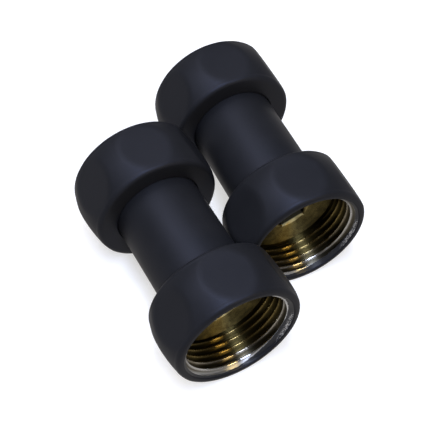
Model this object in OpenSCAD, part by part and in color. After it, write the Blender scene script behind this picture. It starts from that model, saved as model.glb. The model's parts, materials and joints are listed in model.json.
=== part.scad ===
// Pair of straight union connectors: a plain coated barrel with a captive, crowned
// hexagon union nut on each end. Both ends of a connector are alike.
// The two connectors lie side by side, each on the lower flats of its nuts.
// The row stands on z = 0, and +X runs along connector 1 towards its outlet end.

/* [Union nut] */
// Distance across the six spanner flats
nut_flats = 30; // [29.6:0.1:30.4]
// Largest diameter of the crowned body, at mid-length
nut_crown_d = 32.2; // [31.8:0.1:33]
// Length of the nut from mouth to back
nut_length = 14.4; // [14.2:0.1:15]
// Radius of the bulge along the nut's length
nut_bulge_r = 20; // [18:1:30]
// Rounding of the rim at either end
nut_rim_round = 1.2; // [0.9:0.1:1.4]
// Diameter where the mouth's chamfer meets the end face
mouth_d = 26.7; // [26.6:0.1:27]
// Length of the mouth's chamfer
mouth_chamfer = 1.25; // [1:0.05:1.4]

/* [Union thread, G 3/4] */
// Outside diameter of the pipe thread
thread_major_d = 26.441; // [26.4:0.01:26.5]
// Inside diameter of the pipe thread, measured on its crests
thread_minor_d = 24.117; // [24.1:0.01:24.2]
// Length of the threaded wall, from the mouth's chamfer to the relief groove
thread_length = 7.7; // [7:0.1:7.8]

/* [Barrel] */
// Outside diameter of the barrel
barrel_d = 20.6; // [20:0.1:21]
// Distance between the middles of the two nuts
nut_spacing = 39; // [36:0.5:60]
// Diameter of the waterway inside the barrel
barrel_bore_d = 13; // [12:0.5:14]
// Depth of the socket that takes each bush
socket_depth = 10; // [9.6:0.1:11]

/* [Seat bush] */
// Depth of the sealing face below the nut's mouth
seat_depth = 9.55; // [9.5:0.05:9.8]
// Diameter of the sealing flange
flange_d = 23.9; // [23.6:0.1:24]
// Thickness of the sealing flange
flange_thick = 2.2; // [2:0.1:2.3]
// Width across flats of the hexagon key socket
key_flats = 10; // [9.8:0.1:10.2]
// Depth of the hexagon key socket
key_depth = 4; // [3:0.5:5]
// Depth of the cone that breaks the socket's edge
key_chamfer = 0.45; // [0.3:0.05:0.8]
// Turn of the key socket about the axis
key_turn = 50; // [0:5:60]
// Diameter of the waterway through the bush
bush_bore_d = 9.8; // [9:0.1:9.9]
// Length of the spigot behind the flange
spigot_length = 9.4; // [8:0.1:9.5]
// Outside diameter of the spigot's G 3/8 thread
spigot_major_d = 16.662; // [16.6:0.01:16.7]

/* [Seals and slip rings] */
// Section diameter of the o-ring under the flange
o_ring_section = 1.2; // [1.1:0.05:1.25]
// Diameter at the middle of the o-ring's section
o_ring_mid_d = 17.2; // [17.1:0.05:17.3]
// Thickness of the slip ring between nut and flange
slip_thick = 0.45; // [0.3:0.05:0.5]
// Outside diameter of the slip ring
slip_d = 23.6; // [23:0.1:23.8]

/* [Layout of the pair] */
// Sideways distance from the middle of connector 1 to that of connector 2
pair_spacing = 27.8; // [27.8:0.1:60]
// How far connector 2 lies behind connector 1, along X
pair_stagger = 16; // [15.5:0.1:16.2]
// Angle between the two axes, seen from above
lay_angle = 3; // [0:0.5:3]

/* [Fits] */
// Radial gap between the nut's back and the barrel
swivel_gap = 0.1; // [0.05:0.01:0.1]
// Axial gap between the nut's shoulder and the slip ring
shoulder_gap = 0.1; // [0.05:0.01:0.15]
// Gap around pieces that are screwed or laid together
seat_gap = 0.05; // [0.03:0.01:0.08]

/* [Hidden] */

// Smoothness of every turned surface
$fn = 96;
// How far a cutting tool runs past the face that it cuts
over = 1;

// Radii
crown_r = nut_crown_d / 2;
mouth_r = mouth_d / 2;
crest_r = thread_minor_d / 2;
root_r = thread_major_d / 2;
relief_r = root_r + seat_gap;
barrel_r = barrel_d / 2;
back_hole_r = barrel_r + swivel_gap;
flange_r = flange_d / 2;
spigot_r = spigot_major_d / 2;
socket_r = spigot_r + seat_gap;

// Stations along a connector's own axis, measured from its middle
half_length = nut_spacing / 2 + nut_length / 2;
seat_z = half_length - seat_depth;
barrel_end_z = seat_z - flange_thick;
slip_front_z = barrel_end_z - seat_gap;
shoulder_z = slip_front_z - slip_thick - shoulder_gap;
nut_mid_z = nut_spacing / 2;

// O-ring groove: a step in the barrel's mouth around the bush's neck
o_ring_r = o_ring_section / 2;
groove_r = o_ring_mid_d / 2 + o_ring_r + seat_gap;
neck_r = o_ring_mid_d / 2 - o_ring_r - seat_gap;
groove_depth = o_ring_section + 2 * seat_gap;

// Size of the turned edges' small chamfers
edge_break = 0.25;

// Nut profile: where the bulge ends and the rim's rounding starts
bulge_centre = crown_r - nut_bulge_r;
bulge_half = nut_length / 2 - nut_rim_round;
bulge_end_angle = asin(bulge_half / nut_bulge_r);
bulge_end_r = bulge_centre + nut_bulge_r * cos(bulge_end_angle);
bulge_steps = 12;
rim_steps = 5;
rim_r = bulge_end_r - nut_rim_round;

// The pair's place: its bounding box is centred on the origin, with its base on z = 0
axis_height = nut_flats / 2;
reach_2 = half_length * cos(lay_angle) + rim_r * sin(lay_angle);
side_2 = nut_mid_z * sin(lay_angle);
x_1 = (pair_stagger + reach_2 - half_length) / 2;
x_2 = x_1 - pair_stagger;
y_1 = -(pair_spacing + side_2) / 2;
y_2 = y_1 + pair_spacing;

// Outline of the nut's body of revolution, as [radius, height]
function rim_arc(side) = [
    for (i = [0 : rim_steps])
        let (a = side > 0 ? 90 * i / rim_steps : 90 - 90 * i / rim_steps)
        [rim_r + nut_rim_round * cos(a), side * (bulge_half + nut_rim_round * sin(a))]
];
function bulge_arc() = [
    for (i = [1 : bulge_steps - 1])
        let (a = bulge_end_angle * (2 * i / bulge_steps - 1))
        [bulge_centre + nut_bulge_r * cos(a), nut_bulge_r * sin(a)]
];

// Everything that is turned out of the nut, from the mouth to the back. The thread is a
// plain wall on its crests.
function nut_bore_outline() =
    let (
        top = nut_length / 2,
        thread_top = top - mouth_chamfer,
        thread_end = thread_top - thread_length,
        relief_top = thread_end - (relief_r - crest_r) / 2,
        shoulder = shoulder_z - nut_mid_z
    )
    [
        [0, top + over], [mouth_r, top + over], [mouth_r, top], [crest_r, thread_top],
        [crest_r, thread_end], [relief_r, relief_top], [relief_r, shoulder],
        [back_hole_r, shoulder], [back_hole_r, -top - over], [0, -top - over]
    ];

// Moves a shape from a connector's own frame to its place in the row
module at_connector(number) {
    place = number == 1 ? [x_1, y_1, axis_height] : [x_2, y_2, axis_height];
    turn = number == 1 ? 0 : -lay_angle;
    translate(place)
        rotate([0, 0, turn])
            rotate([0, 90, 0])
                children();
}

// Turns an outlet-end piece round to the inlet end
module at_inlet() {
    rotate([0, 180, 0])
        children();
}

module ring(outer_r, inner_r, height) {
    difference() {
        cylinder(r = outer_r, h = height);
        translate([0, 0, -over])
            cylinder(r = inner_r, h = height + 2 * over);
    }
}

// Coated tube with a socket in each end for the bushes
module barrel() {
    color("dimgray")
        difference() {
            translate([0, 0, -barrel_end_z])
                cylinder(r = barrel_r, h = 2 * barrel_end_z);
            translate([0, 0, -barrel_end_z - over])
                cylinder(d = barrel_bore_d, h = 2 * (barrel_end_z + over));
            for (side = [0, 180])
                rotate([0, side, 0]) {
                    translate([0, 0, barrel_end_z - socket_depth])
                        cylinder(r = socket_r, h = socket_depth + over);
                    translate([0, 0, barrel_end_z - groove_depth])
                        cylinder(r = groove_r, h = groove_depth + over);
                }
        }
}

// Brass bush: the sealing flange that holds the nut on, and the spigot that screws
// into the barrel, with a hexagon key socket in its face
module seat_bush() {
    neck_end = barrel_end_z - groove_depth;
    spigot_end = barrel_end_z - spigot_length;
    color("goldenrod")
        difference() {
            rotate_extrude()
                polygon(concat(
                    [[0, seat_z], [flange_r - edge_break, seat_z]],
                    [[flange_r, seat_z - edge_break], [flange_r, barrel_end_z + edge_break]],
                    [[flange_r - edge_break, barrel_end_z], [neck_r, barrel_end_z]],
                    [[neck_r, neck_end], [spigot_r, neck_end]],
                    [[spigot_r, spigot_end + edge_break], [spigot_r - edge_break, spigot_end]],
                    [[0, spigot_end]]
                ));
            translate([0, 0, spigot_end - over])
                cylinder(d = bush_bore_d, h = spigot_length + flange_thick + 2 * over);
            translate([0, 0, seat_z - key_depth])
                rotate([0, 0, key_turn])
                    cylinder(d = key_flats / cos(30), h = key_depth + over, $fn = 6);
            translate([0, 0, seat_z - key_chamfer])
                cylinder(
                    r1 = key_flats / 2,
                    r2 = key_flats / 2 + 2 * key_chamfer,
                    h = 2 * key_chamfer
                );
        }
}

// Rubber o-ring between the flange and the barrel
module o_ring() {
    color("black")
        translate([0, 0, barrel_end_z - groove_depth / 2])
            rotate_extrude()
                translate([o_ring_mid_d / 2, 0])
                    circle(r = o_ring_r, $fn = 32);
}

// Thin plastic ring that the nut's shoulder turns against
module slip_ring() {
    color("whitesmoke")
        translate([0, 0, slip_front_z - slip_thick])
            ring(slip_d / 2, barrel_r + seat_gap, slip_thick);
}

// Crowned hexagon nut that swivels on the barrel
module union_nut() {
    color("dimgray")
        translate([0, 0, nut_mid_z])
            difference() {
                intersection() {
                    rotate_extrude()
                        polygon(concat(
                            [[0, -nut_length / 2]],
                            rim_arc(-1),
                            bulge_arc(),
                            rim_arc(1),
                            [[0, nut_length / 2]]
                        ));
                    rotate([0, 0, 30])
                        cylinder(
                            d = nut_flats / cos(30),
                            h = nut_length + 2 * over,
                            center = true,
                            $fn = 6
                        );
                }
                rotate_extrude()
                    polygon(nut_bore_outline());
            }
}

at_connector(1) barrel();  // barrel_1
at_connector(1) seat_bush();  // outlet_bush_1
at_connector(1) at_inlet() seat_bush();  // inlet_bush_1
at_connector(1) o_ring();  // outlet_o_ring_1
at_connector(1) at_inlet() o_ring();  // inlet_o_ring_1
at_connector(1) slip_ring();  // outlet_slip_ring_1
at_connector(1) at_inlet() slip_ring();  // inlet_slip_ring_1
at_connector(1) union_nut();  // outlet_nut_1
at_connector(1) at_inlet() union_nut();  // inlet_nut_1
at_connector(2) barrel();  // barrel_2
at_connector(2) seat_bush();  // outlet_bush_2
at_connector(2) at_inlet() seat_bush();  // inlet_bush_2
at_connector(2) o_ring();  // outlet_o_ring_2
at_connector(2) at_inlet() o_ring();  // inlet_o_ring_2
at_connector(2) slip_ring();  // outlet_slip_ring_2
at_connector(2) at_inlet() slip_ring();  // inlet_slip_ring_2
at_connector(2) union_nut();  // outlet_nut_2
at_connector(2) at_inlet() union_nut();  // inlet_nut_2
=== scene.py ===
import json
import math

import bpy
import numpy as np
from mathutils import Matrix, Vector


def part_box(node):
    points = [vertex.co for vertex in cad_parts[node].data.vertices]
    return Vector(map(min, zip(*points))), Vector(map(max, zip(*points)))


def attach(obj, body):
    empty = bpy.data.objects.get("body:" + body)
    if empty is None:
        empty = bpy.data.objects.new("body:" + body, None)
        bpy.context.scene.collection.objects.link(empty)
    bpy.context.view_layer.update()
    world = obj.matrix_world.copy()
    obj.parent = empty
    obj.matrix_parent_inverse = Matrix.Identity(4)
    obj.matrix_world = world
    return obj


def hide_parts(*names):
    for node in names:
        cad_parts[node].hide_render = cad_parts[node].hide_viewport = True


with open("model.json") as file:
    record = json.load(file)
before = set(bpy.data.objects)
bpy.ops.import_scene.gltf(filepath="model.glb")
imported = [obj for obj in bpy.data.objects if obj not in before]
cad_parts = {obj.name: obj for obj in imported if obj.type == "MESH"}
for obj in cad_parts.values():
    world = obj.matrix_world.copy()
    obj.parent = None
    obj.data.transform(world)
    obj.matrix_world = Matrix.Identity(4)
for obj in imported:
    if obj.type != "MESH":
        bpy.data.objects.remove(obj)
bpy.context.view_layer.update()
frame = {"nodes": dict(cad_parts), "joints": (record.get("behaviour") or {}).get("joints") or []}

# Lengths are in millimetres and angles in degrees, unless a name says otherwise.
MM = 0.001

# A connector's own frame has X along its axis towards the outlet, Z up, and its origin at the
# middle. The nut's stations are counted along X from the nut's own middle, at NUT_MIDDLE.
NUT_MIDDLE = 19.5
NUT_HALF = 7.2
NUT_FLATS = 30.0
CROWN_RADIUS = 16.1
BULGE_RADIUS = 20.0
BULGE_HALF = 6.0
RIM_ROUND = 1.2
FLAT_SOFTNESS = 0.35

# The nut's bore: the lip, where the coat ends in it, the thread from its first crest to its last,
# and the relief behind it. A side is an angle round the axis, from Y towards Z.
MOUTH_RADIUS = 13.35
LIP_ROUND = 0.3
COAT_EDGE = 6.15
COAT_EDGE_SWAY = 0.4
COAT_EDGE_SIDE = -30.0
WORN_RING = 6.6
WORN_SIDE = -18.0
CREST_RADIUS = 12.0585
ROOT_RADIUS = 13.2205
PITCH = 1.814
CREST_WIDTH = 0.32
CREST_TOP = 5.95
CREST_END = -1.756
CREST_SIDE = -45.0
CHAMFER_SOFTNESS = 0.06
RUN_OUT = 1.1
RUN_OUT_LEAD = 0.6
RELIEF_RADIUS = 13.27
SHOULDER = -5.15
BACK_HOLE_RADIUS = 10.4

# The barrel, counted from the connector's middle.
BARREL_RADIUS = 10.3
BARREL_BORE = 6.5
BARREL_END = 14.95
SOCKET_RADIUS = 8.381
SOCKET_DEPTH = 10.0
GROOVE_RADIUS = 9.25
GROOVE_DEPTH = 1.3

# The seat bush, counted from the connector's middle: its flange, spigot, waterway and key socket.
SEAT = 17.15
FLANGE_RADIUS = 11.95
FLANGE_THICK = 2.2
NECK_RADIUS = 7.95
SPIGOT_END = 5.55
SPIGOT_CREST = 8.331
SPIGOT_ROOT = 7.475
SPIGOT_PITCH = 1.337
SPIGOT_CREST_WIDTH = 0.3
SPIGOT_RUN_OUT = 0.8
BUSH_BORE = 4.9
KEY_FLATS = 10.0
KEY_CORNER = -40.0
KEY_DEPTH = 4.0
KEY_CHAMFER = 0.45
TOOL_FEED = 0.22

# How many degrees further round each nut's thread starts. The crests seen in the two outlet
# mouths set their values, and the inlets' are free.
NUT_ROLL = {"outlet_nut_1": 0, "outlet_nut_2": 180, "inlet_nut_1": 120, "inlet_nut_2": 300}

# Shared by both threads, and the rounding of edges.
FLANK_ANGLE = 27.5
CREST_SOFTNESS = 0.25
EDGE_ROUND = 0.3
BUSH_EDGE_ROUND = 0.25
BORE_EDGE_ROUND = 0.2

# How finely the rings are cut. BARE_ROWS is how many rows behind the nut's thread are bare too.
AROUND = 360
BULGE_STEPS = 44
RIM_STEPS = 10
LIP_STEPS = 6
ROWS_PER_TURN = 24
SPIGOT_ROWS_PER_TURN = 14
BARE_ROWS = 8
SHARP_ANGLE = 40.0
TURN = np.radians(np.arange(AROUND) * 360.0 / AROUND)

# The camera, from the outlines of the pair.
TARGET = (4.879, -3.122, 15.0)
AZIMUTH = 31.564
ELEVATION = 51.902
ROLL = 4.059
DISTANCE = 259.39
LENS = 92.31
SENSOR = 36.0

# The surroundings. HORIZON is half the width of the step from ground to room, as a sine.
FLOOR_HALF = 3000
ROOM_STRENGTH = 0.12
GROUND_STRENGTH = 0.62
ROOM_COLOUR = (1.0, 0.96, 0.95, 1)
HORIZON = 0.05

# Azimuth, elevation, distance, width and height, watts, and colour of each light. The key and
# its core stand behind the pair, and the window and the lamp shine into the outlet mouths.
LIGHTS = {
    "key": (207, 63, 700, (750, 650), 3.0, (0.99, 0.96, 1.0)),
    "core": (214, 62, 700, (170, 170), 0.8, (0.86, 0.90, 1.0)),
    "window": (-21, 72, 700, (140, 600), 7.0, (0.66, 0.75, 1.0)),
    "lamp": (18.5, 26, 800, (180, 160), 1.3, (1.0, 0.74, 0.32)),
}

# Colours, linear. Of a pair, the first is for the darker patches and the second for the lighter.
COAT = (0.0098, 0.0100, 0.0110, 1), (0.0118, 0.0119, 0.0130, 1)
COAT_TINT = (0.66, 0.72, 1.0, 1)
COAT_IN_MOUTH = (0.015, 0.016, 0.019, 1)
PLATING = (0.72, 0.72, 0.71, 1)
THREAD_BRASS = (0.18, 0.132, 0.045, 1), (0.26, 0.195, 0.075, 1)
# Painted shade that darkens the grooves of the nut's thread.
THREAD_GROOVE_SHADE = (0.07, 0.055, 0.018, 1)
FACE_BRASS = (0.08, 0.064, 0.024, 1), (0.32, 0.26, 0.10, 1)
# A painted highlight on the chamfer round the key socket.
CHAMFER_HIGHLIGHT_BRASS = (0.52, 0.42, 0.18, 1)
# Painted shade inside the key socket.
SOCKET_SHADE_BRASS = (0.04, 0.035, 0.02, 1)
PLAIN_BRASS = (0.40, 0.31, 0.13, 1), (0.58, 0.46, 0.21, 1)
RUBBER = (0.012, 0.012, 0.012, 1), (0.030, 0.030, 0.029, 1)
NYLON = (0.62, 0.60, 0.55, 1), (0.74, 0.72, 0.67, 1)
PAPER = (0.46, 0.46, 0.46, 1), (0.48, 0.48, 0.48, 1)
PAPER_GLOW = (1.0, 0.99, 0.97, 1)


# ---------------------------------------------------------------- profiles


def smooth_min(a, b, softness):
    """The lower of a and b, with the crossing rounded off."""
    near = np.clip(softness - np.abs(a - b), 0, None) / softness
    return np.minimum(a, b) - near * near * softness / 4


def smooth_step(low, high, value):
    """0 below low, 1 above high, and an even rise between them."""
    t = np.clip((value - low) / (high - low), 0, 1)
    return t * t * (3 - 2 * t)


def hexagon_radius(across_flats, corner):
    """Radius of a hexagon in every direction round the axis, with a corner at this angle."""
    from_flat = (TURN - math.radians(corner)) % math.radians(60) - math.radians(30)
    return across_flats / 2 / np.cos(from_flat)


def thread_ridge(x, pitch, crest_width, height, start, side):
    """How far a right-hand thread stands up from its root, in every direction, at x."""
    turns = (TURN - math.radians(side)) / (2 * math.pi)
    phase = ((start - crest_width / 2 - x) / pitch + turns) % 1.0
    from_crest = np.minimum(phase, 1 - phase) * pitch
    flank = height * math.tan(math.radians(FLANK_ANGLE))
    rise = 1 - (from_crest - crest_width / 2) / flank
    rise = smooth_min(rise, np.ones_like(rise), CREST_SOFTNESS)
    return height * np.clip(rise, 0, None)


def arc(centre_x, centre_r, radius, start, end, steps):
    """Stations on a circular arc. An angle of 0 points away from the axis, and 90 along it."""
    turn = [math.radians(start + (end - start) * i / steps) for i in range(steps + 1)]
    return [(centre_x + radius * math.sin(a), centre_r + radius * math.cos(a)) for a in turn]


def line(x0, r0, x1, r1, steps):
    """Stations on a straight line, both ends included."""
    return [(x0 + (x1 - x0) * i / steps, r0 + (r1 - r0) * i / steps) for i in range(steps + 1)]


def rounded(corners, radius, steps=4):
    """A run of corners, each turned into a small arc. The first and the last stay sharp."""
    stations = [corners[0]]
    for before, here, after in zip(corners, corners[1:], corners[2:]):
        p, a, b = Vector(here), Vector(before), Vector(after)
        cut = min(radius, (a - p).length / 2.2, (b - p).length / 2.2)
        start = p + (a - p).normalized() * cut
        end = p + (b - p).normalized() * cut
        for i in range(steps + 1):
            t = i / steps
            q = start * (1 - t) ** 2 + p * 2 * t * (1 - t) + end * t * t
            stations.append((q.x, q.y))
    stations.append(corners[-1])
    return stations


# ---------------------------------------------------------------- meshes


def ring_mesh(name, rows, materials, material_of_row):
    """A closed ring round the X axis. A row is (x, r), with r a number or one for each direction."""
    xs = np.array([np.broadcast_to(x, AROUND) for x, r in rows])
    rs = np.array([np.broadcast_to(r, AROUND) for x, r in rows])
    points = np.stack([xs, rs * np.cos(TURN), rs * np.sin(TURN)], axis=-1) * MM
    count = len(rows)
    row, col = np.meshgrid(np.arange(count), np.arange(AROUND), indexing="ij")
    next_row, next_col = (row + 1) % count, (col + 1) % AROUND
    quads = np.stack(
        [
            row * AROUND + col,
            next_row * AROUND + col,
            next_row * AROUND + next_col,
            row * AROUND + next_col,
        ],
        axis=-1,
    ).reshape(-1, 4)
    mesh = bpy.data.meshes.new(name)
    mesh.from_pydata(points.reshape(-1, 3).tolist(), [], quads.tolist())
    for material in materials:
        mesh.materials.append(material)
    mesh.polygons.foreach_set("material_index", np.repeat(material_of_row, AROUND))
    mesh.polygons.foreach_set("use_smooth", np.ones(len(quads), bool))
    mesh.update()
    mesh.set_sharp_from_angle(angle=math.radians(SHARP_ANGLE))
    return mesh


def crown_stations():
    """The crowned outline of the nut, from its front face over the bulge to its back face."""
    bulge_centre = CROWN_RADIUS - BULGE_RADIUS
    end_angle = math.degrees(math.asin(BULGE_HALF / BULGE_RADIUS))
    end_radius = bulge_centre + BULGE_RADIUS * math.cos(math.radians(end_angle))
    rim = end_radius - RIM_ROUND
    front = arc(BULGE_HALF, rim, RIM_ROUND, 90, 0, RIM_STEPS)
    bulge = arc(0, bulge_centre, BULGE_RADIUS, end_angle, -end_angle, BULGE_STEPS)
    back = arc(-BULGE_HALF, rim, RIM_ROUND, 0, -90, RIM_STEPS)
    return front + bulge[1:-1] + back


def nut_rows(roll):
    """Rows of the nut in four runs: the outside, then behind the thread, the bore and the lip."""
    flats = hexagon_radius(NUT_FLATS, 0.0)
    outside = [(x, smooth_min(r, flats, FLAT_SOFTNESS)) for x, r in crown_stations()]
    rim = crown_stations()[0][1]
    behind = rounded(
        [
            (-NUT_HALF, rim - 0.3),
            (-NUT_HALF, BACK_HOLE_RADIUS),
            (SHOULDER, BACK_HOLE_RADIUS),
            (SHOULDER, RELIEF_RADIUS),
            (CREST_END - RUN_OUT - 0.1, RELIEF_RADIUS),
        ],
        EDGE_ROUND,
    )
    chamfer_top = NUT_HALF - LIP_ROUND
    slope = (MOUTH_RADIUS - CREST_RADIUS) / (chamfer_top - CREST_TOP)
    height = ROOT_RADIUS - CREST_RADIUS
    bore = []
    for x in np.arange(CREST_END - RUN_OUT, chamfer_top - 0.01, PITCH / ROWS_PER_TURN):
        ridge = thread_ridge(x, PITCH, CREST_WIDTH, height, CREST_TOP, CREST_SIDE + roll)
        wall = ROOT_RADIUS - ridge
        chamfer = MOUTH_RADIUS - (chamfer_top - x) * slope
        past_end = x - CREST_END + RUN_OUT_LEAD
        run_out = RELIEF_RADIUS - past_end / math.tan(math.radians(FLANK_ANGLE))
        # The bore is as wide as the widest of its thread, its chamfer and its run-out.
        cut = max(chamfer, run_out if x < CREST_END else 0.0)
        wall = -smooth_min(-wall, -cut, CHAMFER_SOFTNESS)
        wall = np.minimum(wall, RELIEF_RADIUS + 0.02)
        bore.append((float(x), wall))
    lip = [(chamfer_top, MOUTH_RADIUS)]
    lip += arc(NUT_HALF - LIP_ROUND, MOUTH_RADIUS + LIP_ROUND, LIP_ROUND, 180, 90, LIP_STEPS)
    return outside, behind, bore, lip


def nut_mesh(coat, metal, roll):
    """The union nut, with its thread started this many degrees further round."""
    outside, behind, bore, lip = nut_rows(roll)
    rows = outside + behind + bore + lip
    material_of_row = np.zeros(len(rows), np.int32)
    first = len(outside) + len(behind) - BARE_ROWS
    material_of_row[first : first + len(bore) + BARE_ROWS] = 1
    return ring_mesh("union_nut", rows, [coat, metal], material_of_row)


def bush_mesh(face, spigot):
    """The seat bush: turned face, key socket, waterway, and a threaded spigot behind."""
    back = SEAT - FLANGE_THICK
    face_edge = FLANGE_RADIUS - 2
    hexagon = hexagon_radius(KEY_FLATS, KEY_CORNER)
    rim = KEY_FLATS / 2 + KEY_CHAMFER
    edge = np.maximum(rim, hexagon)
    floor = SEAT - KEY_DEPTH
    outer = rounded(
        [(SEAT, face_edge), (SEAT, FLANGE_RADIUS), (back, FLANGE_RADIUS),
         (back, NECK_RADIUS), (back - GROOVE_DEPTH, NECK_RADIUS)],
        BUSH_EDGE_ROUND,
    )
    thread = []
    thread_top = back - GROOVE_DEPTH
    height = SPIGOT_CREST - SPIGOT_ROOT
    for x in np.arange(thread_top - 0.1, SPIGOT_END + 0.15, -SPIGOT_PITCH / SPIGOT_ROWS_PER_TURN):
        ridge = thread_ridge(
            x, SPIGOT_PITCH, SPIGOT_CREST_WIDTH, height, SPIGOT_END + 1, CREST_SIDE
        )
        fade = smooth_step(SPIGOT_END, SPIGOT_END + SPIGOT_RUN_OUT, x)
        fade *= 1 - smooth_step(thread_top - SPIGOT_RUN_OUT, thread_top, x)
        thread.append((float(x), SPIGOT_ROOT + ridge * fade))
    bore = rounded(
        [(SPIGOT_END, SPIGOT_ROOT - 0.1), (SPIGOT_END, BUSH_BORE),
         (floor, BUSH_BORE), (floor, BUSH_BORE + 0.05)],
        BORE_EDGE_ROUND,
    )
    # Rows a few hundredths apart keep the edges of the key socket and its chamfer crisp.
    socket = [
        (floor, hexagon - 0.02),
        (floor + 0.05, hexagon),
        (SEAT - (edge - hexagon) - 0.05, hexagon),
        (SEAT - (edge - hexagon) + 0.02, hexagon + 0.03),
        (SEAT - 0.04, edge - 0.01),
        (SEAT, edge + 0.05),
    ]
    face_rows = line(SEAT, rim + 0.3, SEAT, face_edge - 0.2, 6)
    rows = outer + thread + bore + socket + face_rows
    material_of_row = np.zeros(len(rows), np.int32)
    # The spigot's finish runs from the neck's corner to the rim of the waterway.
    material_of_row[len(outer) - 6 : len(outer) + len(thread) + 4] = 1
    return ring_mesh("seat_bush", rows, [face, spigot], material_of_row)


def barrel_mesh(coat, bare):
    """The coated tube, with an o-ring groove and a plain socket in each end."""
    outer = rounded(
        [(-BARREL_END, BARREL_RADIUS - 0.5), (-BARREL_END, BARREL_RADIUS),
         (BARREL_END, BARREL_RADIUS), (BARREL_END, BARREL_RADIUS - 0.5)],
        EDGE_ROUND,
    )
    bore_half = BARREL_END - SOCKET_DEPTH - EDGE_ROUND
    rows = outer + outlet_socket()
    rows += line(bore_half, BARREL_BORE, -bore_half, BARREL_BORE, 6)
    rows += [(-x, r) for x, r in reversed(outlet_socket())]
    material_of_row = np.ones(len(rows), np.int32)
    # The coat covers the outside and the rims of both end faces.
    material_of_row[: len(outer) + 1] = 0
    return ring_mesh("barrel", rows, [coat, bare], material_of_row)


def outlet_socket():
    """The o-ring groove and the socket in the outlet end of the barrel."""
    groove_floor = BARREL_END - GROOVE_DEPTH
    stations = [
        (BARREL_END, GROOVE_RADIUS + 0.1),
        (BARREL_END - 0.1, GROOVE_RADIUS),
        (groove_floor, GROOVE_RADIUS),
        (groove_floor, SOCKET_RADIUS + 0.1),
    ]
    stations += line(groove_floor - 0.1, SOCKET_RADIUS,
                     BARREL_END - SOCKET_DEPTH, SOCKET_RADIUS, 8)
    return stations + [(BARREL_END - SOCKET_DEPTH, BARREL_BORE + 0.1)]


# ---------------------------------------------------------------- materials


class Finish:
    """A Principled material that is built up node by node."""

    def __init__(self, name, **constants):
        self.material = bpy.data.materials.new(name)
        self.material.use_nodes = True
        self.tree = self.material.node_tree
        self.shader = self.tree.nodes["Principled BSDF"]
        for socket, value in constants.items():
            self.shader.inputs[socket.replace("_", " ")].default_value = value
        self.place = self.node("ShaderNodeTexCoord").outputs["Object"]

    def node(self, kind, inputs=None, **settings):
        """A new node with these settings, and its inputs fed."""
        made = self.tree.nodes.new(kind)
        for key, value in settings.items():
            setattr(made, key, value)
        for key, value in (inputs or {}).items():
            self.feed(made.inputs[key], value)
        return made

    def feed(self, socket, value):
        """Link the socket to another one, or give it a value of its own."""
        if isinstance(value, bpy.types.NodeSocket):
            self.tree.links.new(value, socket)
        else:
            socket.default_value = value

    def set(self, **values):
        """Feed the shader's inputs, named with _ for a space."""
        for socket, value in values.items():
            self.feed(self.shader.inputs[socket.replace("_", " ")], value)

    def math(self, operation, a, b=0.0, c=0.0):
        """The result of one math node."""
        made = self.node("ShaderNodeMath", operation=operation)
        for socket, value in zip(made.inputs, (a, b, c)):
            self.feed(socket, value)
        return made.outputs[0]

    def ramp(self, value, low, high, to_low=0.0, to_high=1.0):
        """value from low..high to to_low..to_high, held at both ends."""
        made = self.node("ShaderNodeMapRange", clamp=True)
        numbers = (value, low, high, to_low, to_high)
        for socket, number in zip(made.inputs, numbers):
            self.feed(socket, number)
        return made.outputs[0]

    def mix(self, factor, a, b):
        """Colour a where the factor is 0, and b where it is 1."""
        made = self.node("ShaderNodeMix", data_type="RGBA")
        for name, value in (("Factor", factor), ("A", a), ("B", b)):
            sockets = [s for s in made.inputs if s.name == name and s.enabled]
            self.feed(sockets[0], value)
        return [s for s in made.outputs if s.enabled][0]

    def noise(self, size, detail=2.0, rough=0.5, stretch=None):
        """Noise with features of about this size in millimetres."""
        place = self.place
        if stretch:
            scaled = self.node("ShaderNodeVectorMath", operation="MULTIPLY")
            self.feed(scaled.inputs[0], place)
            scaled.inputs[1].default_value = stretch
            place = scaled.outputs[0]
        made = self.node("ShaderNodeTexNoise")
        self.feed(made.inputs["Vector"], place)
        made.inputs["Scale"].default_value = 1 / (size * MM)
        made.inputs["Detail"].default_value = detail
        made.inputs["Roughness"].default_value = rough
        return made.outputs["Fac"]

    def axial(self):
        """Millimetres along the connector's axis, in the piece's own frame."""
        apart = self.node("ShaderNodeSeparateXYZ", {"Vector": self.place})
        return self.math("MULTIPLY", apart.outputs["X"], 1 / MM)

    def across(self, side):
        """Millimetres off the axis towards this side, an angle round the axis."""
        along = self.node("ShaderNodeVectorMath", operation="DOT_PRODUCT")
        self.feed(along.inputs[0], self.place)
        turn = math.radians(side)
        along.inputs[1].default_value = (0, math.cos(turn) / MM, math.sin(turn) / MM)
        return along.outputs["Value"]

    def radial(self):
        """Millimetres from the connector's axis."""
        flat = self.node("ShaderNodeVectorMath", operation="MULTIPLY")
        self.feed(flat.inputs[0], self.place)
        flat.inputs[1].default_value = (0, 1, 1)
        length = self.node("ShaderNodeVectorMath", operation="LENGTH")
        self.feed(length.inputs[0], flat.outputs[0])
        return self.math("MULTIPLY", length.outputs["Value"], 1 / MM)

    def round_the_axis(self):
        """The direction in which a turning tool leaves its marks."""
        return self.node("ShaderNodeTangent", direction_type="RADIAL", axis="X").outputs[0]

    def bump(self, height, depth, strength=1.0, after=None):
        """Bump of this depth in millimetres."""
        made = self.node("ShaderNodeBump")
        self.feed(made.inputs["Height"], height)
        made.inputs["Distance"].default_value = depth * MM
        made.inputs["Strength"].default_value = strength
        if after is not None:
            self.feed(made.inputs["Normal"], after)
        return made.outputs["Normal"]


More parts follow.
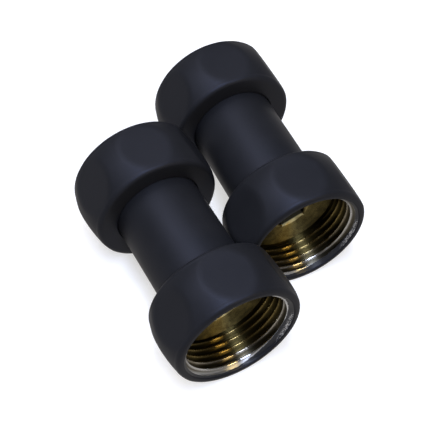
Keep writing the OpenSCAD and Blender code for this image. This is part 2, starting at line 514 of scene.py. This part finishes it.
def black_coat():
    """Matt black coating: orange peel, a fine tooth, and patches that shine a little more."""
    f = Finish("black_coat", Specular_IOR_Level=0.155, Specular_Tint=COAT_TINT)
    patches = f.noise(9.0, 3.0)
    tooth = f.noise(0.12, 2.0)
    peel = f.noise(0.9, 2.0)
    uneven = f.math("ADD", patches, f.math("MULTIPLY", tooth, 0.3))
    f.set(Base_Color=f.mix(f.ramp(patches, 0.3, 0.7), *COAT))
    f.set(Roughness=f.ramp(uneven, 0.4, 0.9, 0.42, 0.52))
    f.set(Normal=f.bump(tooth, 0.004, 1.0, f.bump(peel, 0.012)))
    return f.material


def thread_metal():
    """The nut's bore: bright plating at the mouth, brass further in, painted shade in the thread's
    grooves, and the coat's ragged edge.
    """
    f = Finish("thread_metal", Specular_IOR_Level=0.4, Anisotropic=1.0, Anisotropic_Rotation=0.25)
    x = f.axial()
    stain = f.noise(2.6, 4.0, 0.6)
    depth = f.math("ADD", x, f.math("MULTIPLY", f.math("SUBTRACT", stain, 0.5), 2.5))
    plating = f.ramp(depth, 2.8, 6.0)
    brass = f.mix(f.ramp(stain, 0.3, 0.75), *THREAD_BRASS)
    metal = f.mix(plating, brass, PLATING)
    # Painted shade: the grooves of the thread are darkened towards a dark brown, where shade falls in
    # them.
    in_groove = f.ramp(f.radial(), CREST_RADIUS + 0.08, CREST_RADIUS + 0.5)
    in_thread = f.ramp(x, CREST_TOP + 0.1, CREST_TOP - 0.2)
    groove_shade = f.math("MULTIPLY", f.math("MULTIPLY", in_groove, in_thread), 0.88)
    metal = f.mix(groove_shade, metal, THREAD_GROOVE_SHADE)
    coated = coat_over_bore(f, x)
    f.set(Base_Color=f.mix(coated, metal, COAT_IN_MOUTH))
    f.set(Metallic=f.math("SUBTRACT", 1.0, coated))
    worked = f.ramp(f.noise(0.35, 3.0), 0.3, 0.7, 0.16, 0.26)
    dull = f.math("MULTIPLY", f.math("SUBTRACT", 1.0, plating), 0.05)
    f.set(Roughness=f.math("ADD", f.math("ADD", worked, dull), f.math("MULTIPLY", in_groove, 0.16)))
    scratches = f.noise(0.2, 2.0, 0.5, (3.0, 0.3, 0.3))
    f.set(Normal=f.bump(scratches, 0.002), Tangent=f.round_the_axis())
    return f.material


def coat_over_bore(f, x):
    """How much black coat lies in the mouth: it reaches in further on two sides, with worn specks."""
    side = f.math("DIVIDE", f.across(COAT_EDGE_SIDE), MOUTH_RADIUS)
    sway = f.math("MULTIPLY_ADD", f.math("MULTIPLY", side, side), 2 * COAT_EDGE_SWAY, -COAT_EDGE_SWAY)
    ragged = f.math("MULTIPLY", f.math("SUBTRACT", f.noise(1.1, 3.0), 0.5), 0.3)
    edge = f.math("ADD", f.math("ADD", x, ragged), sway)
    coated = f.ramp(edge, COAT_EDGE - 0.05, COAT_EDGE + 0.05)
    off_ring = f.math("ABSOLUTE", f.math("SUBTRACT", x, WORN_RING))
    worn_side = f.math("ABSOLUTE", f.math("DIVIDE", f.across(WORN_SIDE), MOUTH_RADIUS))
    worn = f.math("MULTIPLY", f.ramp(f.noise(0.4, 3.0, 0.7), 0.48, 0.60), f.ramp(off_ring, 0.35, 0.15))
    worn = f.math("MULTIPLY", worn, f.ramp(worn_side, 0.90, 0.97))
    return f.math("MULTIPLY", coated, f.math("SUBTRACT", 1.0, worn))


def turned_brass():
    """Faced brass: fine rings from the tool, which draw bright rays, a painted highlight on the key
    socket's chamfer, and painted shade inside the key socket.
    """
    f = Finish("turned_brass", Metallic=1.0, Anisotropic=0.85, Anisotropic_Rotation=0.25)
    grain = f.noise(0.16, 2.0)
    stain = f.noise(1.8, 4.0, 0.6)
    rings = f.math("SINE", f.math("MULTIPLY", f.radial(), 2 * math.pi / TOOL_FEED))
    speckle = f.math("ADD", f.math("MULTIPLY", stain, 0.45), f.math("MULTIPLY", grain, 0.55))
    brass = f.mix(f.ramp(speckle, 0.40, 0.62), *FACE_BRASS)
    below_face = f.math("SUBTRACT", SEAT, f.axial())
    # Painted highlight: the chamfer round the key socket is painted brighter than the face.
    chamfer_highlight = f.math("MULTIPLY", f.ramp(below_face, 0.01, 0.03), f.ramp(f.radial(), 7.0, 6.0))
    # Painted shade: the key socket's walls below the chamfer are painted dark.
    shaded_socket = f.ramp(below_face, KEY_CHAMFER, KEY_CHAMFER + 0.3)
    brass = f.mix(chamfer_highlight, brass, CHAMFER_HIGHLIGHT_BRASS)
    f.set(Base_Color=f.mix(shaded_socket, brass, SOCKET_SHADE_BRASS))
    f.set(Roughness=f.ramp(f.math("ADD", grain, stain), 0.7, 1.3, 0.44, 0.60))
    height = f.math("ADD", f.math("MULTIPLY", rings, 0.35), f.math("MULTIPLY", grain, 1.6))
    f.set(Normal=f.bump(height, 0.003), Tangent=f.round_the_axis())
    return f.material


def plain_brass():
    """Brass as machined: the spigots, and the bores of the barrels."""
    f = Finish("plain_brass", Metallic=1.0)
    stain = f.noise(1.5, 4.0, 0.6)
    f.set(Base_Color=f.mix(f.ramp(stain, 0.3, 0.7), *PLAIN_BRASS))
    f.set(Roughness=f.ramp(f.noise(0.3), 0.3, 0.7, 0.28, 0.45))
    f.set(Normal=f.bump(f.noise(0.25, 2.0, 0.5, (3.0, 0.3, 0.3)), 0.006))
    return f.material


def rubber():
    """The o-rings' black rubber, with a faint bloom."""
    f = Finish("rubber", Specular_IOR_Level=0.4)
    bloom = f.noise(2.0, 3.0)
    f.set(Base_Color=f.mix(bloom, *RUBBER))
    f.set(Roughness=f.ramp(bloom, 0.3, 0.7, 0.55, 0.75))
    f.set(Normal=f.bump(f.noise(0.2), 0.004))
    return f.material


def nylon():
    """The slip rings' off-white nylon."""
    f = Finish("nylon", Specular_IOR_Level=0.5)
    mottle = f.noise(2.5, 3.0)
    f.set(Base_Color=f.mix(mottle, *NYLON))
    f.set(Roughness=f.ramp(mottle, 0.3, 0.7, 0.40, 0.55))
    f.set(Normal=f.bump(f.noise(0.3), 0.004))
    return f.material


# ---------------------------------------------------------------- placing


def connector_frames():
    """Each connector's own frame in the row: its middle from the barrel, its axis from the record."""
    frames = {}
    for joint in frame["joints"]:
        if joint["name"].startswith("outlet_nut_"):
            number = joint["name"].split("_")[2]
            low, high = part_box("barrel_" + number)
            along = Vector(joint["axis"]).normalized()
            across = Vector((0, 0, 1)).cross(along)
            turn = Matrix((along, across, Vector((0, 0, 1)))).transposed().to_4x4()
            frames[number] = Matrix.Translation((low + high) / 2) @ turn
    return frames


def place(name, mesh, matrix, body, slot, node):
    """A piece that rides on a body and stands for a CAD node."""
    piece = bpy.data.objects.new(name, mesh)
    bpy.context.scene.collection.objects.link(piece)
    piece.matrix_world = matrix
    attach(piece, body)
    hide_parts(node)
    return piece


def build_connectors(finishes):
    """Both connectors: a barrel each, and a nut and a seat bush at each end."""
    coat, metal, turned, plain = (finishes[n] for n in ("coat", "metal", "turned", "plain"))
    bush = bush_mesh(turned, plain)
    barrel = barrel_mesh(coat, plain)
    ends = {"outlet": Matrix.Identity(4), "inlet": Matrix.Rotation(math.pi, 4, "Y")}
    for number, home in connector_frames().items():
        place("tube_" + number, barrel, home, "connector_" + number, "black_coating", "barrel_" + number)
        for end, turn in ends.items():
            node = f"{end}_nut_{number}"
            nut = nut_mesh(coat, metal, NUT_ROLL[node])
            at_nut = home @ turn @ Matrix.Translation((NUT_MIDDLE * MM, 0, 0))
            place("crowned_" + node, nut, at_nut, node, "black_coating", node)
            node = f"{end}_bush_{number}"
            place("turned_" + node, bush, home @ turn, "connector_" + number, "brass", node)


def finish_cad_nodes(finishes):
    """The sealing and slip rings keep their CAD shape and get a better material."""
    for name, node in frame["nodes"].items():
        for word, finish in (("o_ring", "rubber"), ("slip_ring", "nylon")):
            if word in name:
                node.data.materials.clear()
                node.data.materials.append(finishes[finish])


# ---------------------------------------------------------------- stage


def add_floor():
    """The pale ground. It isn't seen in reflections, where the world's ground takes its place."""
    half = FLOOR_HALF * MM
    corners = [(-half, -half, 0), (half, -half, 0), (half, half, 0), (-half, half, 0)]
    mesh = bpy.data.meshes.new("floor")
    mesh.from_pydata(corners, [], [(0, 1, 2, 3)])
    f = Finish("floor_paper", Roughness=0.9, Specular_IOR_Level=0.1)
    f.set(Base_Color=f.mix(f.noise(200.0), *PAPER))
    f.set(Emission_Color=PAPER_GLOW, Emission_Strength=0.6)
    mesh.materials.append(f.material)
    floor = bpy.data.objects.new("floor", mesh)
    bpy.context.scene.collection.objects.link(floor)
    floor.visible_diffuse = False
    floor.visible_glossy = False


def add_light(name, azimuth, elevation, distance, size, power, colour):
    """A soft panel that faces the pair. Azimuth 0 is along +X and 90 along +Y."""
    light = bpy.data.lights.new(name, "AREA")
    light.shape = "RECTANGLE"
    light.size, light.size_y = (s * MM for s in size)
    light.energy = power
    light.color = colour
    a, e = math.radians(azimuth), math.radians(elevation)
    towards = Vector((math.cos(e) * math.cos(a), math.cos(e) * math.sin(a), math.sin(e)))
    lamp = bpy.data.objects.new(name, light)
    lamp.location = Vector(TARGET) * MM + towards * distance * MM
    lamp.rotation_euler = towards.to_track_quat("Z", "Y").to_euler()
    bpy.context.scene.collection.objects.link(lamp)


def add_world():
    """A dim room, and a lighter ground that stands in for the floor in reflections."""
    world = bpy.data.worlds.new("studio")
    world.use_nodes = True
    nodes, links = world.node_tree.nodes, world.node_tree.links
    direction = nodes.new("ShaderNodeTexCoord")
    parts = nodes.new("ShaderNodeSeparateXYZ")
    strength = nodes.new("ShaderNodeMapRange")
    strength.inputs["From Min"].default_value = -HORIZON
    strength.inputs["From Max"].default_value = HORIZON
    strength.inputs["To Min"].default_value = GROUND_STRENGTH
    strength.inputs["To Max"].default_value = ROOM_STRENGTH
    links.new(direction.outputs["Generated"], parts.inputs["Vector"])
    links.new(parts.outputs["Z"], strength.inputs["Value"])
    background = nodes["Background"]
    background.inputs["Color"].default_value = ROOM_COLOUR
    links.new(strength.outputs["Result"], background.inputs["Strength"])
    bpy.context.scene.world = world


def add_camera():
    """The camera, which looks at TARGET from the outlet side."""
    az, el, roll = (math.radians(v) for v in (AZIMUTH, ELEVATION, ROLL))
    back = Vector((math.cos(el) * math.cos(az), -math.cos(el) * math.sin(az), math.sin(el)))
    right = Vector((math.sin(az), math.cos(az), 0))
    up = back.cross(right)
    right, up = (
        right * math.cos(roll) + up * math.sin(roll),
        up * math.cos(roll) - right * math.sin(roll),
    )
    camera = bpy.data.cameras.new("camera")
    camera.lens = LENS
    camera.sensor_width = SENSOR
    camera.clip_start = 0.01
    holder = bpy.data.objects.new("camera", camera)
    turn = Matrix((right, up, back)).transposed().to_4x4()
    holder.matrix_world = Matrix.Translation((Vector(TARGET) + back * DISTANCE) * MM) @ turn
    bpy.context.scene.collection.objects.link(holder)
    bpy.context.scene.camera = holder


def add_stage():
    """Camera, ground, surroundings and lights."""
    add_camera()
    add_floor()
    add_world()
    for name, settings in LIGHTS.items():
        add_light(name, *settings)
    bpy.context.scene.view_settings.view_transform = "Standard"


finishes = {
    "coat": black_coat(),
    "metal": thread_metal(),
    "turned": turned_brass(),
    "plain": plain_brass(),
    "rubber": rubber(),
    "nylon": nylon(),
}
build_connectors(finishes)
finish_cad_nodes(finishes)
add_stage()
